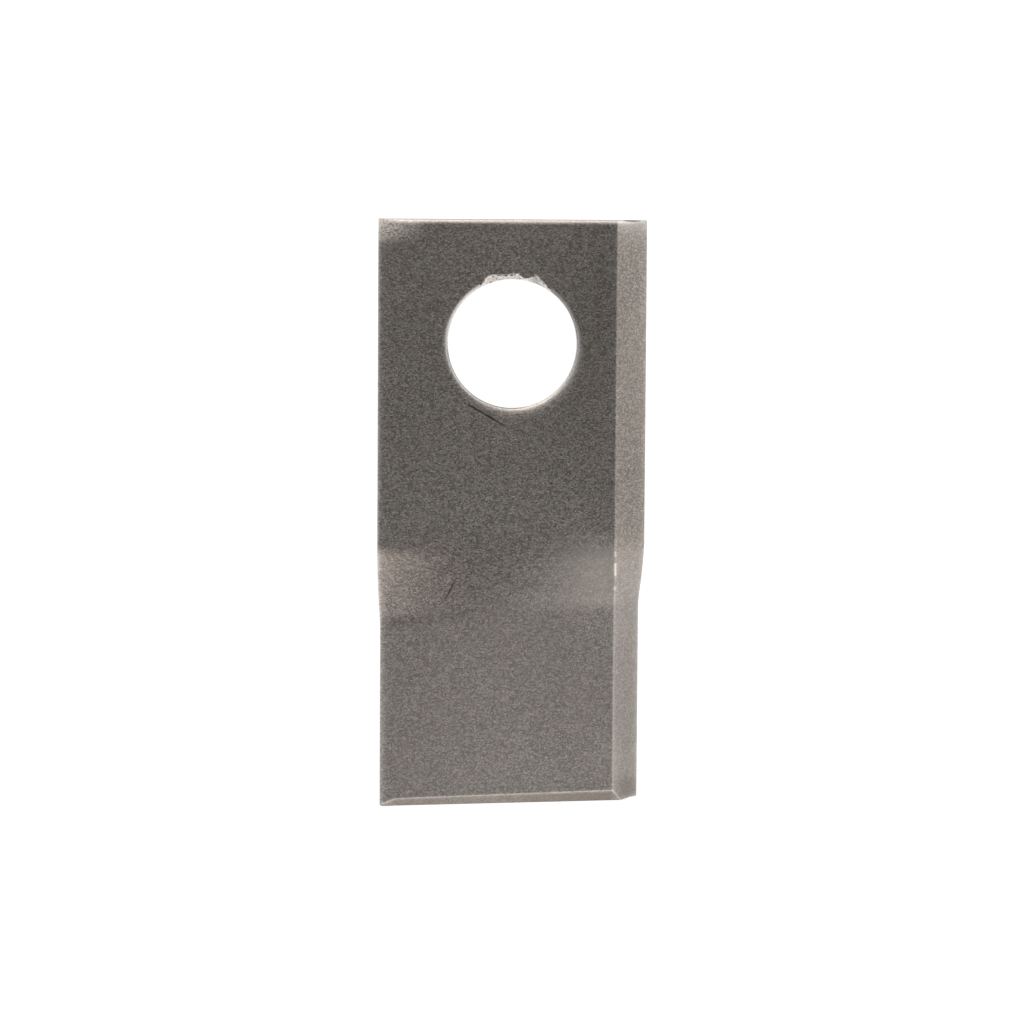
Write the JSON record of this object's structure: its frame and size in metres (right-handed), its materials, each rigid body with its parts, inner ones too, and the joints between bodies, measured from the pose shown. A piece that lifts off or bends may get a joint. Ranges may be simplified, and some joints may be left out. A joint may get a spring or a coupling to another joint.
{
  "type": "rotary mower blade",
  "caption": "Flat steel mower knife with a round bolt hole at one end, a ground bevel along each long edge and a press-formed twist that tilts the cutting tip.",
  "frame": {"origin": "centre of the bolt hole, halfway through the strip", "axes": "+Z along the bolt hole, out of the front face; +Y along the blade from the tip to the hole end; +X across the blade to the edge that is bevelled on the front face"},
  "size_m": [0.048, 0.1051, 0.0144],
  "materials": {
    "steel": "shot-blasted and tempered steel, dark warm grey, dull with a fine grain"
  },
  "bodies": {
    "root": {"blade": "steel"}
  },
  "joints": []
}
